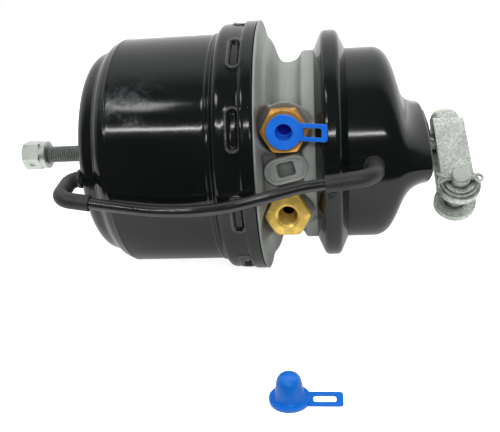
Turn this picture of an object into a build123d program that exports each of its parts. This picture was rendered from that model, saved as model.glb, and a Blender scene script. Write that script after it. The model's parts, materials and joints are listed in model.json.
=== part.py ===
from build123d import *
import math
import os

# Diaphragm and piston spring brake chamber, type 24 on both sides, in millimetres.
# X is the chamber axis and the pushrod leaves towards +X. Z is up. The air ports face -Y.
# The origin is the centre of the mounting face, between the two bolt holes.

# ---------------------------------------------------------------- driving dimensions
seat = 0.1               # clearance between pieces that sit in one another
fit = 0.05               # radial clearance of a sliding or turning fit
soft = 0.3               # clearance round rubber that something slides past

# mounting face and service housing
bolt_spacing = 120.65    # mounting bolt centres, along Y
bolt_hole_r = 8.5        # clearance hole for an M16 bolt
pad_margin = 13.5        # bolt hole centre to the end of the mounting pad
pad_middle = 30.0        # half width of the middle of the mounting pad
pad_edge = 1.0
bowl_r = 75.0
bowl_wall = 3.0
bowl_length = 68.0       # mounting face to the clamped rim
dome_length = 37.0       # mounting face to the straight side of the bowl
rod_hole_r = 19.0        # hole for the boot's neck
breather_x = -41.0       # hose hole in the side of the bowl
breather_turn = 3.0      # degrees of the hose hole above -Y

# clamped joint
bead_thickness = 4.0     # diaphragm bead between the two rims
rim_r = 84.5
clamp_r = 89.5
clamp_base_r = 75.8
clamp_half_top = 5.5
clamp_half_base = 11.6
clamp_wall = 2.4
crest_round = 4.5
clamp_split = 7.0        # gap between the two lugs
lug_thickness = 9.0
lug_width = 17.0
lug_reach = 25.0
lug_bolt_reach = 10.5    # clamp bolt beyond the crest of the ring
clamp_bolt_r = 5.0
clamp_nut_flats = 17.0
clamp_nut_height = 8.0

# cast flange case
case_neck_r = 66.6
case_body_r = 74.8
case_flange_r = 100.0
case_flange_width = 8.0
neck_length = 30.0       # right face of the flange to the rim body
rim_body_length = 14.0
divider = 13.0           # wall between the two air spaces
cavity_r = 63.0
spigot_length = 15.5
guide_hub_r = 33.0
guide_hub_length = 10.0

# spring housing
housing_r = 91.0
housing_wall = 2.6
skirt_r = 98.0
skirt_length = 28.0
skirt_slope = 10.0
lip_r = 99.4
housing_length = 98.5    # skirt to end plate
end_flat_r = 73.0
end_round = 8.0          # rounding between end plate and crease
crease_back = 14.2       # crease between the end and the barrel
crease_r = 83.2
shoulder_back = 27.0
key_count = 10           # stamped keys that lock the skirt to the case
key_turn = 22.6          # degrees of one key above -Y
key_length = 29.0
key_width = 8.0
key_depth = 2.0
key_bead = 2.6           # raised border round each key
key_bead_rise = 0.9
key_back = 8.0           # key centre line behind the case flange
bush_r = 17.0
bush_length = 16.0

# air ports
port_rise = 31.5         # each port centre above or below the axis
port_back = 33.0         # port centres behind the clamped joint
boss_r = 18.7
spot_face_r = 17.9
boss_face = 67.0         # chamber axis to the face of a port boss
hex_flats = 30.0
hex_height = 9.0
port_bore_r = 7.19       # M16 x 1.5 thread crest
port_bore_depth = 15.0
port_throat_r = 4.5
port_chamfer = 2.0
stub_r = 11.0
stub_length = 7.0
channel_r = 2.4          # drilled way from the spring port to the spring side
seal_washer = 1.5
oval_length = 31.0
oval_width = 18.5
oval_turn = 8.0
oval_face = 71.0         # chamber axis to the face of the oval boss
oval_rim = 2.2
oval_recess = 1.0
pocket_length = 12.0
pocket_width = 10.0
pocket_depth = 5.0

# port caps
cap_disc_r = 12.3
cap_disc = 2.4
cap_plug_length = 12.0
cap_wall = 0.8
tab_thickness = 1.3
tab_bend = 20.0          # degrees the fitted cap's tab is bent out by the clamp ring
tab_reach = 31.5
tab_width = 12.4
slot_start = 14.0
slot_end = 27.5
slot_width = 6.7
loose_cap_x = -99.5
loose_cap_y = -199.0

# spring side moving parts
spring_stroke = 52.0
piston_length = 18.0
piston_web = 6.0
piston_rim = 4.5
tube_r = 20.0
tube_wall = 3.0
bolt_r = 7.0
bolt_head_r = 14.0
bolt_head = 10.0
bolt_reach = 54.0        # end plate to the hex collar with the bolt wound out
hex_collar_r = 11.6
hex_collar = 4.5
bolt_hex_flats = 22.0
bolt_hex_length = 15.5
bolt_pin_r = 2.0
washer_thickness = 3.4
hub_r = 26.0

# springs
power_wire_r = 5.0
power_mean_r = 60.0
power_turns = 3
return_wire_r = 2.2
return_small_r = 26.0
return_large_r = 42.0
return_turns = 4

# pushrod, boot and clevis
rod_r = 8.0
rod_end = 33.0           # pushrod tip beyond the mounting face
plate_r = 48.0
plate_thickness = 4.2
diaphragm_thickness = 3.0
boot_r = 24.5
boot_height = 6.6
clevis_x = 22.3
clevis_width = 23.5
clevis_arm = 5.0
clevis_drop = 34.0       # degrees the fork hangs below level
pin_reach = 54.0         # pushrod axis to clevis pin axis
pin_r = 7.0
eye_r = 15.5
socket_r = 11.75
socket_length = 7.0
socket_wall = 5.5
plug_rim = 3.5

# breather hose
hose_r = 4.1
elbow_r = 5.9
elbow_bore_r = 2.8
elbow_stub_r = 4.6       # part of the elbow that passes through the wall
spring_elbow_bend = 8.4
service_elbow_bend = 14.0
elbow_disc_r = 7.2
elbow_disc = 2.2
sleeve_depth = 13.0
spring_elbow_y = -70.0
spring_elbow_out = 8.6   # end plate to the centre line of the hose's turn
hose_y = -99.5           # hose beside the spring housing
hose_service_y = -104.0  # hose beside the clamped joint

# ---------------------------------------------------------------- derived stations
rim_right = -bowl_length                      # service housing rim face
rim_left = rim_right - bead_thickness         # flange case rim face
clamp_x = (rim_right + rim_left) / 2
body_left = rim_left - 5.0 - rim_body_length
flange_right = body_left - neck_length
flange_left = flange_right - case_flange_width
spigot_left = flange_left - spigot_length
skirt_left = flange_left - skirt_length
end_x = skirt_left - housing_length           # outer face of the end plate
divider_right = flange_right + 8.0
divider_left = divider_right - divider
hub_left = divider_left - guide_hub_length
port_x = clamp_x - port_back
skirt_bore = skirt_r - housing_wall
barrel_bore = housing_r - housing_wall
key_x = flange_left - key_back
hole_y = bolt_spacing / 2
hex_base = boss_face + seal_washer
hex_face = hex_base + hex_height
block_face = boss_face - 4.5
floor_z = -case_flange_r

piston_right = hub_left - spring_stroke - 3.0
piston_left = piston_right - piston_length
web_right = piston_left + piston_web
tube_end = divider_right + 1.0
pusher_face = tube_end + 4.0
plate_x = pusher_face + diaphragm_thickness + 2 * seat
washer_x = web_right + seat
bolt_head_x = washer_x + washer_thickness + seat
collar_x = end_x - bolt_reach
bush_left = end_x - 1.0
hex_end_x = collar_x - hex_collar - bolt_hex_length


def ring(x0, x1, r0, r1):
    """Half section of a plain ring about the chamber axis."""
    Polygon((x0, r0), (x1, r0), (x1, r1), (x0, r1), align=None)


def radial(x, turn, r):
    """Plane on the side of the chamber, turn degrees above -Y, looking outwards."""
    a = math.radians(turn)
    out = (0, -math.cos(a), math.sin(a))
    return Plane(origin=(x, r * out[1], r * out[2]), x_dir=(1, 0, 0), z_dir=out)


def across_x(x):
    """Plane square to the chamber axis, its x_dir along Y."""
    return Plane(origin=(x, 0, 0), x_dir=(0, 1, 0), z_dir=(1, 0, 0))


def port_plane(z, reach):
    """Plane square to a port at height z, reach from the axis, looking out along -Y."""
    return Plane(origin=(port_x, -reach, z), x_dir=(1, 0, 0), z_dir=(0, -1, 0))


def rounded_diamond(half_length, half_width, power):
    """Closed curve |y/a|^p + |z/b|^p = 1: an ellipse at power 2, and more pointed below it."""
    points = []
    for step in range(outline_steps):
        a = 2 * math.pi * step / outline_steps
        size = abs(math.cos(a) / half_length) ** power + abs(math.sin(a) / half_width) ** power
        points.append((math.cos(a) * size ** (-1 / power), math.sin(a) * size ** (-1 / power)))
    with BuildLine() as edge:
        Spline(*points, periodic=True)
    make_face(edge.edges())


def dressed_hexagon(plane, flats, height):
    """Hexagon prism on a plane with its corners turned off at both ends."""
    corner = flats / math.sqrt(3) + 1
    inner = flats / 2 - 0.3
    slope = (corner - inner) * 0.6
    with BuildPart() as prism:
        with BuildSketch(plane):
            RegularPolygon(flats / 2, 6, major_radius=False)
        extrude(amount=height)
        with BuildSketch(Plane(origin=plane.origin, x_dir=plane.x_dir, z_dir=-plane.y_dir)):
            Polygon((0, 0), (inner, 0), (corner, slope), (corner, height - slope),
                    (inner, height), (0, height), align=None)
        revolve(axis=Axis(plane.origin, plane.z_dir), mode=Mode.INTERSECT)
    return prism.part


def hexagon(flats):
    RegularPolygon(flats / 2, 6, major_radius=False)


def finish(piece, name):
    piece.part.label = name
    export_step(piece.part, f"parts/{name}.step")


os.makedirs("parts", exist_ok=True)
outline_steps = 32       # points on a rounded diamond
bolt_pin_plane = radial(collar_x - hex_collar - bolt_hex_length / 2, -30, 0)

# ---------------------------------------------------------------- service housing
# V-shaped channel shared by the clamp ring and the two rims
channel_slope = (clamp_half_base - clamp_half_top) / (clamp_r - clamp_base_r)
channel_wall = clamp_wall * 1.1


def channel_half(r):
    """Half width inside the clamp ring at radius r, less the seating clearance."""
    return clamp_half_base - (r - clamp_base_r) * channel_slope - channel_wall - seat


# Stations of the dished end: place along X, half length, half width and power of the outline
pad_half = hole_y + pad_margin
dome_stations = ((0.0, pad_half, pad_middle, 1.6),
                 (-14.5, bowl_r - 0.4, pad_middle + 7.5, 1.85),
                 (-20.0, bowl_r - 0.2, pad_middle + 22, 1.95),
                 (-25.5, bowl_r - 0.1, pad_middle + 36.5, 2.0))

shells = []
for inset in (0, bowl_wall):
    with BuildPart() as shell:
        for place, half_length, half_width, power in dome_stations:
            with BuildSketch(across_x(place - inset)):
                rounded_diamond(half_length - inset, half_width - inset, power)
        with BuildSketch(across_x(-dome_length - inset)):
            Circle(bowl_r - inset)
        loft()
        if inset == 0:
            chamfer(shell.faces().sort_by(Axis.X)[-1].edges(), pad_edge)
        with BuildSketch(across_x(-dome_length - inset)):
            Circle(bowl_r - inset)
        extrude(amount=rim_right + dome_length + inset)
    shells.append(shell.part)

with BuildPart() as service_housing:
    add(shells[0])
    with BuildSketch():
        Polygon((rim_right, bowl_r - bowl_wall), (rim_right, rim_r),
                (clamp_x + channel_half(rim_r), rim_r),
                (clamp_x + channel_half(bowl_r + 1), bowl_r + 1),
                (clamp_x + channel_half(bowl_r + 1) + 3, bowl_r - bowl_wall), align=None)
    revolve(axis=Axis.X)
    add(shells[1], mode=Mode.SUBTRACT)
    with BuildSketch(across_x(0)):
        Circle(rod_hole_r)
        with Locations((hole_y, 0), (-hole_y, 0)):
            Circle(bolt_hole_r)
    extrude(amount=-bowl_wall * 3, mode=Mode.SUBTRACT)
    with BuildSketch(radial(breather_x, breather_turn, bowl_r + 4)):
        Circle(elbow_stub_r + seat)
    extrude(amount=-12, mode=Mode.SUBTRACT)
finish(service_housing, "service_housing")

# ---------------------------------------------------------------- clamp ring
lug_y = clamp_r - 6 + lug_reach / 2
bolt_y = clamp_r + lug_bolt_reach
lug_outer = clamp_split / 2 + lug_thickness
crest_corner = clamp_wall * 0.75

with BuildPart() as clamp_ring:
    with BuildSketch() as band:
        Polygon((clamp_x - clamp_half_base, clamp_base_r), (clamp_x - clamp_half_top, clamp_r),
                (clamp_x + clamp_half_top, clamp_r), (clamp_x + clamp_half_base, clamp_base_r),
                (clamp_x + clamp_half_base - channel_wall, clamp_base_r),
                (clamp_x + clamp_half_top - crest_corner, clamp_r - clamp_wall),
                (clamp_x - clamp_half_top + crest_corner, clamp_r - clamp_wall),
                (clamp_x - clamp_half_base + channel_wall, clamp_base_r), align=None)
        fillet(band.vertices().group_by(Axis.Y)[-2], crest_round - clamp_wall)
        fillet(band.vertices().group_by(Axis.Y)[-1], crest_round)
    revolve(axis=Axis.X)
    with BuildSketch(Plane.XY):
        with Locations((clamp_x, lug_y)):
            Rectangle(lug_width, lug_reach)
    extrude(amount=lug_outer, both=True)
    with BuildSketch():
        Polygon((clamp_x - channel_half(rim_r) - seat, rim_r + seat),
                (clamp_x + channel_half(rim_r) + seat, rim_r + seat),
                (clamp_x + clamp_half_base - channel_wall, clamp_base_r),
                (clamp_x + clamp_half_base - channel_wall, 0),
                (clamp_x - clamp_half_base + channel_wall, 0),
                (clamp_x - clamp_half_base + channel_wall, clamp_base_r), align=None)
    revolve(axis=Axis.X, mode=Mode.SUBTRACT)
    with BuildSketch(Plane.XY):
        with Locations((clamp_x, lug_y)):
            Rectangle(lug_width + 14, lug_reach + 20)
    extrude(amount=clamp_split / 2, both=True, mode=Mode.SUBTRACT)
    with BuildSketch(Plane.XY):
        with Locations((clamp_x, bolt_y)):
            Circle(clamp_bolt_r + soft)
    extrude(amount=lug_outer + 1, both=True, mode=Mode.SUBTRACT)
finish(clamp_ring, "clamp_ring")

with BuildPart() as clamp_bolt:
    with BuildSketch(Plane.XY.offset(lug_outer)):
        with Locations((clamp_x, bolt_y)):
            hexagon(clamp_nut_flats)
    extrude(amount=6.4)
    with BuildSketch(Plane.XY.offset(lug_outer)):
        with Locations((clamp_x, bolt_y)):
            Circle(clamp_bolt_r)
    extrude(amount=-(2 * lug_outer + clamp_nut_height + 4))
finish(clamp_bolt, "clamp_bolt")

with BuildPart() as clamp_nut:
    with BuildSketch(Plane.XY.offset(-lug_outer)):
        with Locations((clamp_x, bolt_y)):
            hexagon(clamp_nut_flats)
            Circle(clamp_bolt_r + seat, mode=Mode.SUBTRACT)
    extrude(amount=-clamp_nut_height)
finish(clamp_nut, "clamp_nut")

# ---------------------------------------------------------------- flange case
neck_left = flange_right + 16
with BuildPart() as flange_case:
    with BuildSketch():
        with BuildLine():
            Polyline((hub_left, 0), (hub_left, guide_hub_r), (divider_left, guide_hub_r + 4),
                     (divider_left, barrel_bore + 0.4), (spigot_left, barrel_bore + 0.4),
                     (spigot_left, skirt_bore - 1.6), (spigot_left + 1.5, skirt_bore - seat),
                     (flange_left, skirt_bore - seat), (flange_left, case_flange_r - 1.2),
                     (flange_left + 1.2, case_flange_r), (flange_right - 3, case_flange_r),
                     (flange_right + 1.5, case_flange_r - 12))
            Spline((flange_right + 1.5, case_flange_r - 12),
                   (flange_right + 6, case_flange_r - 17),
                   (flange_right + 10, case_neck_r + 6), (neck_left, case_neck_r))
            Polyline((neck_left, case_neck_r), (body_left - 4, case_neck_r + 2),
                     (body_left, case_body_r),
                     (clamp_x - channel_half(case_body_r + 1), case_body_r),
                     (clamp_x - channel_half(rim_r), rim_r), (rim_left, rim_r),
                     (rim_left, 0), (hub_left, 0))
        make_face()
    revolve(axis=Axis.X)
    with BuildSketch(port_plane(0, block_face)):
        with Locations((0, port_rise), (0, -port_rise)):
            Circle(boss_r - 1.5)
        make_hull()
    extrude(amount=-20)
    with BuildSketch(port_plane(0, boss_face)):
        with Locations((0, port_rise), (0, -port_rise)):
            Circle(boss_r)
    extrude(amount=-20)
    with BuildSketch(port_plane(0, oval_face)):
        SlotOverall(oval_length, oval_width, rotation=oval_turn)
    extrude(amount=-20)
    # diaphragm space on the service side
    with BuildSketch():
        Polygon((rim_left, 0), (rim_left, cavity_r + 1), (rim_left - 3, cavity_r),
                (divider_right + 6, cavity_r - 2), (divider_right, cavity_r - 8),
                (divider_right, 0), align=None)
    revolve(axis=Axis.X, mode=Mode.SUBTRACT)
    # bores for the tube, its guide and its seal, and the groove behind the keys
    with BuildSketch():
        ring(hub_left - 1, divider_right + 1, 0, tube_r + 1.0)
        ring(hub_left - 1, hub_left + 12, 0, tube_r + 4)
        ring(hub_left + 15, divider_right + 1, 0, tube_r + 5)
    revolve(axis=Axis.X, mode=Mode.SUBTRACT)
    with BuildSketch():
        ring(key_x - key_width / 2 - 1.4, key_x + key_width / 2 + 1.4,
             skirt_bore - key_depth - 0.6, skirt_bore + 1)
        ring(flange_left - 2.3, flange_left, skirt_bore - 2.8, skirt_bore + 1)
    revolve(axis=Axis.X, mode=Mode.SUBTRACT)
    # spot faces, port bores, throats and the drilled way to the spring side
    with BuildSketch(port_plane(0, boss_face)):
        with Locations((0, port_rise), (0, -port_rise)):
            Circle(spot_face_r)
    extrude(amount=40, mode=Mode.SUBTRACT)
    with BuildSketch(port_plane(0, boss_face)):
        with Locations((0, port_rise), (0, -port_rise)):
            Circle(stub_r + seat)
    extrude(amount=-stub_length - seat, mode=Mode.SUBTRACT)
    with BuildSketch(port_plane(port_rise, boss_face)):
        Circle(port_throat_r)
    extrude(amount=-20, mode=Mode.SUBTRACT)
    with BuildSketch(port_plane(0, oval_face)):
        SlotOverall(oval_length - 2 * oval_rim, oval_width - 2 * oval_rim, rotation=oval_turn)
    extrude(amount=-oval_recess, mode=Mode.SUBTRACT)
    with BuildSketch(port_plane(0, oval_face)):
        Rectangle(pocket_length, pocket_width, rotation=oval_turn)
    extrude(amount=-oval_recess - pocket_depth, mode=Mode.SUBTRACT)
    with BuildSketch(across_x(divider_left - 1)):
        with Locations((stub_length - boss_face + 0.5, 1 - port_rise)):
            Circle(channel_r)
    extrude(amount=port_x - divider_left + 1, mode=Mode.SUBTRACT)
finish(flange_case, "flange_case")

with BuildPart() as tube_guide_ring:
    with BuildSketch():
        ring(hub_left + 0.5, hub_left + 12 - seat, tube_r + fit, tube_r + 4 - seat)
    revolve(axis=Axis.X)
finish(tube_guide_ring, "tube_guide_ring")

with BuildPart() as tube_seal:
    with BuildSketch():
        ring(hub_left + 15 + seat, divider_right - 3.2, tube_r + soft, tube_r + 5 - seat)
    revolve(axis=Axis.X)
finish(tube_seal, "tube_seal")

with BuildPart() as seal_retaining_ring:
    with BuildSketch():
        ring(divider_right - 3, divider_right - 1.2, tube_r + soft, tube_r + 5 - seat)
    revolve(axis=Axis.X)
finish(seal_retaining_ring, "seal_retaining_ring")

with BuildPart() as housing_o_ring:
    with BuildSketch():
        with Locations((flange_left - 1.15, skirt_bore - 1.4)):
            Circle(1.0)
    revolve(axis=Axis.X)
finish(housing_o_ring, "housing_o_ring")

# ---------------------------------------------------------------- port adapters and caps
adapters = (("service_port_adapter", port_rise), ("spring_port_adapter", -port_rise))
for name, z in adapters:
    flats = dressed_hexagon(port_plane(z, hex_base), hex_flats, hex_height)
    with BuildPart() as adapter:
        add(flats)
        with BuildSketch(port_plane(z, hex_face)):
            Circle(stub_r)
        extrude(amount=-hex_height - seal_washer - stub_length)
        with BuildSketch(port_plane(z, hex_face)):
            Circle(port_bore_r)
        extrude(amount=-port_bore_depth, mode=Mode.SUBTRACT)
        with BuildSketch(port_plane(z, hex_face)):
            Circle(port_throat_r)
        extrude(amount=-40, mode=Mode.SUBTRACT)
        circles = adapter.edges().filter_by(GeomType.CIRCLE)
        mouth = circles.group_by(Axis.Y)[0].sort_by(SortBy.RADIUS)[0]
        chamfer(mouth, port_chamfer, port_chamfer * 0.6)
    finish(adapter, name)

with BuildPart() as port_seal_washers:
    with BuildSketch(port_plane(0, boss_face)):
        with Locations((0, port_rise), (0, -port_rise)):
            Circle(stub_r + 4)
            Circle(stub_r + seat, mode=Mode.SUBTRACT)
    extrude(amount=seal_washer)
finish(port_seal_washers, "port_seal_washers")

# Each cap is a disc with a pull tab, and a thin-walled plug open towards the disc. The
# fitted cap's tab lies over the clamp ring, which bends it outwards.
cap_places = (("port_cap", port_plane(port_rise, hex_face), -1, tab_bend),
              ("loose_port_cap", Plane(origin=(loose_cap_x, loose_cap_y, floor_z),
                                       x_dir=(1, 0, 0), z_dir=(0, 0, 1)), 1, 0.0))
plug_r = port_bore_r - soft
tab_root = cap_disc_r - 2.5
for name, face, plug_way, bend in cap_places:
    plug_base = face if plug_way < 0 else face.offset(cap_disc)
    open_face = face.offset(cap_disc) if plug_way < 0 else face
    tab_foot = face.offset(cap_disc - tab_thickness) if plug_way < 0 else face
    lean = math.radians(bend)
    tab_plane = Plane(origin=tab_foot.from_local_coords((tab_root, 0, 0)),
                      x_dir=tab_foot.x_dir * math.cos(lean) + tab_foot.z_dir * math.sin(lean),
                      z_dir=tab_foot.z_dir * math.cos(lean) - tab_foot.x_dir * math.sin(lean))
    with BuildPart() as cap:
        with BuildSketch(face):
            Circle(cap_disc_r)
        extrude(amount=cap_disc)
        with BuildSketch(plug_base):
            Circle(plug_r)
        extrude(amount=plug_way * cap_plug_length)
        with BuildSketch(tab_plane):
            with Locations(((tab_reach - tab_root) / 2, 0)):
                RectangleRounded(tab_reach - tab_root, tab_width, 2.0)
            with Locations(((slot_start + slot_end) / 2 - tab_root, 0)):
                RectangleRounded(slot_end - slot_start, slot_width, 1.5, mode=Mode.SUBTRACT)
        extrude(amount=tab_thickness)
        with BuildSketch(open_face):
            Circle(plug_r - cap_wall)
        extrude(amount=plug_way * (cap_plug_length + cap_disc - 1.2), mode=Mode.SUBTRACT)
    finish(cap, name)

# ---------------------------------------------------------------- spring housing
wall = housing_wall


def keys_between(border, inner_r, outer_r):
    """Obround blocks where the keys are, widened by a border, between two radii."""
    with BuildPart() as blocks:
        for key in range(key_count):
            turn = key_turn + key * 360 / key_count
            with BuildSketch(radial(key_x, turn, inner_r * 0.9)):
                SlotOverall(key_length + 2 * border, key_width + 2 * border, rotation=90)
            extrude(amount=outer_r - inner_r * 0.9 + 4)
        with BuildSketch():
            ring(key_x - key_width - border, key_x + key_width + border, inner_r, outer_r)
        revolve(axis=Axis.X, mode=Mode.INTERSECT)
    return blocks.part


key_borders = keys_between(key_bead, skirt_bore + seat, skirt_r + key_bead_rise)
key_hollows = keys_between(0, skirt_r - key_depth, skirt_r + 2 * key_bead)
key_tongues = keys_between(0.8, skirt_bore - key_depth, skirt_bore + seat)

crease_x = end_x + crease_back
with BuildPart() as spring_housing:
    with BuildSketch():
        with BuildLine():
            Polyline((end_x, bush_r), (end_x, end_flat_r))
            RadiusArc((end_x, end_flat_r), (end_x + end_round, end_flat_r + end_round), 9.0)
            Polyline((end_x + end_round, end_flat_r + end_round), (crease_x, crease_r))
            RadiusArc((crease_x, crease_r), (end_x + shoulder_back, housing_r), 17)
            Polyline((end_x + shoulder_back, housing_r), (skirt_left, housing_r),
                     (skirt_left + skirt_slope, skirt_r), (flange_left - 4, skirt_r),
                     (flange_left - 3, lip_r), (flange_left, lip_r), (flange_left, skirt_bore),
                     (skirt_left + skirt_slope + 1.4, skirt_bore), (skirt_left + 1.4, barrel_bore),
                     (end_x + shoulder_back + 2, barrel_bore), (crease_x + 6.8, crease_r + 2.4),
                     (crease_x + 1.8, crease_r - 2.2), (end_x + end_round + 2, end_flat_r + 5),
                     (end_x + wall, end_flat_r - 2), (end_x + wall, bush_r), (end_x, bush_r))
        make_face()
    revolve(axis=Axis.X)
    add(key_borders)
    add(key_tongues)
    add(key_hollows, mode=Mode.SUBTRACT)
    with BuildSketch(across_x(end_x)):
        with Locations((spring_elbow_y, 0)):
            Circle(elbow_stub_r + seat)
    extrude(amount=wall * 2, both=True, mode=Mode.SUBTRACT)
finish(spring_housing, "spring_housing")

with BuildPart() as release_thread_bush:
    with BuildSketch():
        Polygon((bush_left, bolt_r + fit), (end_x + bush_length, bolt_r + fit),
                (end_x + bush_length, bush_r + 3), (end_x + wall + seat, bush_r + 3),
                (end_x + wall + seat, bush_r - seat), (bush_left, bush_r - seat), align=None)
    revolve(axis=Axis.X)
finish(release_thread_bush, "release_thread_bush")

with BuildPart() as power_spring:
    spring_start = end_x + wall + power_wire_r + seat
    spring_height = piston_left - power_wire_r - seat - spring_start
    with BuildLine() as power_coil:
        Helix(spring_height / power_turns, spring_height, power_mean_r,
              center=(spring_start, 0, 0), direction=(1, 0, 0))
    with BuildSketch(Plane(origin=power_coil.line @ 0, z_dir=power_coil.line % 0)):
        Circle(power_wire_r)
    sweep(path=power_coil.line, is_frenet=True)
finish(power_spring, "power_spring")

# ---------------------------------------------------------------- spring piston
with BuildPart() as spring_piston:
    with BuildSketch():
        Polygon((piston_left, bolt_r + 1.5), (piston_left, barrel_bore - 0.4),
                (piston_right, barrel_bore - 0.4), (piston_right, barrel_bore - piston_rim - 4),
                (web_right + 3, barrel_bore - piston_rim - 8), (web_right, barrel_bore - 24),
                (web_right, hub_r + 4), (web_right + 8, hub_r),
                (web_right + 8, tube_r + seat), (web_right - 3, tube_r + seat),
                (web_right - 3, tube_r - tube_wall - 2), (web_right, tube_r - tube_wall - 2),
                (web_right, bolt_r + 1.5), align=None)
        ring(piston_left + 3, piston_left + 7, barrel_bore - 2.6, barrel_bore)
    revolve(axis=Axis.X)
    with BuildSketch():
        ring(piston_left + 3, piston_left + 7, barrel_bore - 2.6, barrel_bore + 1)
        ring(piston_left + 10.5, piston_left + 15, barrel_bore - 3.6, barrel_bore + 1)
    revolve(axis=Axis.X, mode=Mode.SUBTRACT)
finish(spring_piston, "spring_piston")

with BuildPart() as piston_guide_ring:
    with BuildSketch():
        ring(piston_left + 3 + seat, piston_left + 7 - seat, barrel_bore - 2.5, barrel_bore - fit)
    revolve(axis=Axis.X)
finish(piston_guide_ring, "piston_guide_ring")

with BuildPart() as piston_lip_seal:
    with BuildSketch():
        Polygon((piston_left + 10.5 + seat, barrel_bore - 3.5), (piston_left + 15 - seat, barrel_bore - 3.5),
                (piston_left + 15 - seat, barrel_bore - soft), (piston_left + 13.4, barrel_bore - soft),
                (piston_left + 12.6, barrel_bore - 2.2), (piston_left + 10.5 + seat, barrel_bore - 1.2),
                align=None)
    revolve(axis=Axis.X)
finish(piston_lip_seal, "piston_lip_seal")

with BuildPart() as piston_tube:
    with BuildSketch():
        ring(web_right - 3 + seat, tube_end, tube_r - tube_wall, tube_r)
    revolve(axis=Axis.X)
finish(piston_tube, "piston_tube")

with BuildPart() as pusher:
    with BuildSketch():
        Polygon((tube_end - 10, 0), (tube_end - 10, tube_r - tube_wall - seat),
                (tube_end, tube_r - tube_wall - seat), (tube_end, tube_r - 0.5),
                (pusher_face - 1, tube_r - 0.5), (pusher_face, tube_r - 2), (pusher_face, 0),
                align=None)
    revolve(axis=Axis.X)
finish(pusher, "pusher")

# ---------------------------------------------------------------- release bolt
with BuildPart() as thrust_washer:
    with BuildSketch():
        ring(washer_x, washer_x + washer_thickness, bolt_r + fit, bolt_head_r)
    revolve(axis=Axis.X)
finish(thrust_washer, "thrust_washer")

with BuildPart() as release_bolt:
    with BuildSketch():
        Polygon((hex_end_x + 2, 0), (hex_end_x + 2, bolt_r),
                (bolt_head_x, bolt_r), (bolt_head_x, bolt_head_r),
                (bolt_head_x + bolt_head - 2, bolt_head_r), (bolt_head_x + bolt_head, bolt_head_r - 2),
                (bolt_head_x + bolt_head, 0), align=None)
    revolve(axis=Axis.X)
    with BuildSketch(bolt_pin_plane):
        Circle(bolt_pin_r + seat)
    extrude(amount=bolt_r + 1, both=True, mode=Mode.SUBTRACT)
finish(release_bolt, "release_bolt")

bolt_flats = dressed_hexagon(across_x(hex_end_x), bolt_hex_flats, bolt_hex_length)
with BuildPart() as release_bolt_hex:
    add(bolt_flats)
    with BuildSketch(across_x(collar_x)):
        Circle(hex_collar_r)
    extrude(amount=-hex_collar)
    with BuildSketch(across_x(collar_x)):
        Circle(bolt_r + seat)
    extrude(amount=-hex_collar - bolt_hex_length + 2 - seat, mode=Mode.SUBTRACT)
    with BuildSketch(bolt_pin_plane):
        Circle(bolt_pin_r + seat)
    extrude(amount=bolt_hex_flats, both=True, mode=Mode.SUBTRACT)
finish(release_bolt_hex, "release_bolt_hex")

with BuildPart() as release_bolt_pin:
    with BuildSketch(bolt_pin_plane):
        Circle(bolt_pin_r)
    extrude(amount=bolt_hex_flats / 2 - 0.4, both=True)
finish(release_bolt_pin, "release_bolt_pin")

# ---------------------------------------------------------------- diaphragm, plate, pushrod
skin = diaphragm_thickness
with BuildPart() as service_diaphragm:
    with BuildSketch():
        Polygon((rim_left + seat, rim_r - 0.5), (rim_left + seat, cavity_r - 1),
                (pusher_face + 10, cavity_r - 4), (pusher_face + seat, cavity_r - 11),
                (pusher_face + seat, 0), (pusher_face + seat + skin, 0),
                (pusher_face + seat + skin, cavity_r - 12.5), (pusher_face + 12, cavity_r - 7),
                (rim_right - seat, cavity_r - 4), (rim_right - seat, rim_r - 0.5), align=None)
    revolve(axis=Axis.X)
finish(service_diaphragm, "service_diaphragm")

rod_seat = plate_x + plate_thickness
with BuildPart() as pressure_plate:
    with BuildSketch():
        Polygon((plate_x + 2, rod_r + seat), (plate_x + 2, rod_r + 4), (plate_x, rod_r + 6),
                (plate_x, plate_r - 3), (plate_x + 2.5, plate_r), (rod_seat + 5, plate_r),
                (rod_seat + 5, plate_r - 2.5), (rod_seat, plate_r - 4), (rod_seat, rod_r + seat),
                align=None)
    revolve(axis=Axis.X)
finish(pressure_plate, "pressure_plate")

with BuildPart() as pushrod:
    with BuildSketch():
        Polygon((plate_x + 0.5, 0), (plate_x + 0.5, rod_r), (rod_seat + seat, rod_r),
                (rod_seat + seat, rod_r + 5), (rod_seat + 4, rod_r + 5), (rod_seat + 8, rod_r),
                (rod_end - 1.5, rod_r), (rod_end, rod_r - 1.5), (rod_end, 0), align=None)
    revolve(axis=Axis.X)
finish(pushrod, "pushrod")

with BuildPart() as return_spring:
    coil_start = rod_seat + 0.2 + return_wire_r
    coil_height = -17.0 - return_wire_r - coil_start
    coil_cone = math.degrees(math.atan((return_large_r - return_small_r) / coil_height))
    with BuildLine() as return_coil:
        Helix(coil_height / return_turns, coil_height, return_large_r,
              center=(coil_start, 0, 0), direction=(1, 0, 0), cone_angle=-coil_cone)
    with BuildSketch(Plane(origin=return_coil.line @ 0, z_dir=return_coil.line % 0)):
        Circle(return_wire_r)
    sweep(path=return_coil.line, is_frenet=True)
finish(return_spring, "return_spring")

with BuildPart() as pushrod_boot:
    with BuildSketch():
        Polygon((seat, rod_hole_r), (seat, boot_r), (2.6, boot_r), (boot_height, 14.0),
                (boot_height, rod_r + soft), (boot_height - 2.4, rod_r + soft),
                (boot_height - 2.4, 12.0), (0.6, 17.0), (-bowl_wall - 3, 17.0),
                (-bowl_wall - 3, rod_hole_r + 3), (-bowl_wall - seat, rod_hole_r + 3),
                (-bowl_wall - seat, rod_hole_r - seat), (seat, rod_hole_r - seat), align=None)
    revolve(axis=Axis.X)
finish(pushrod_boot, "pushrod_boot")

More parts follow.
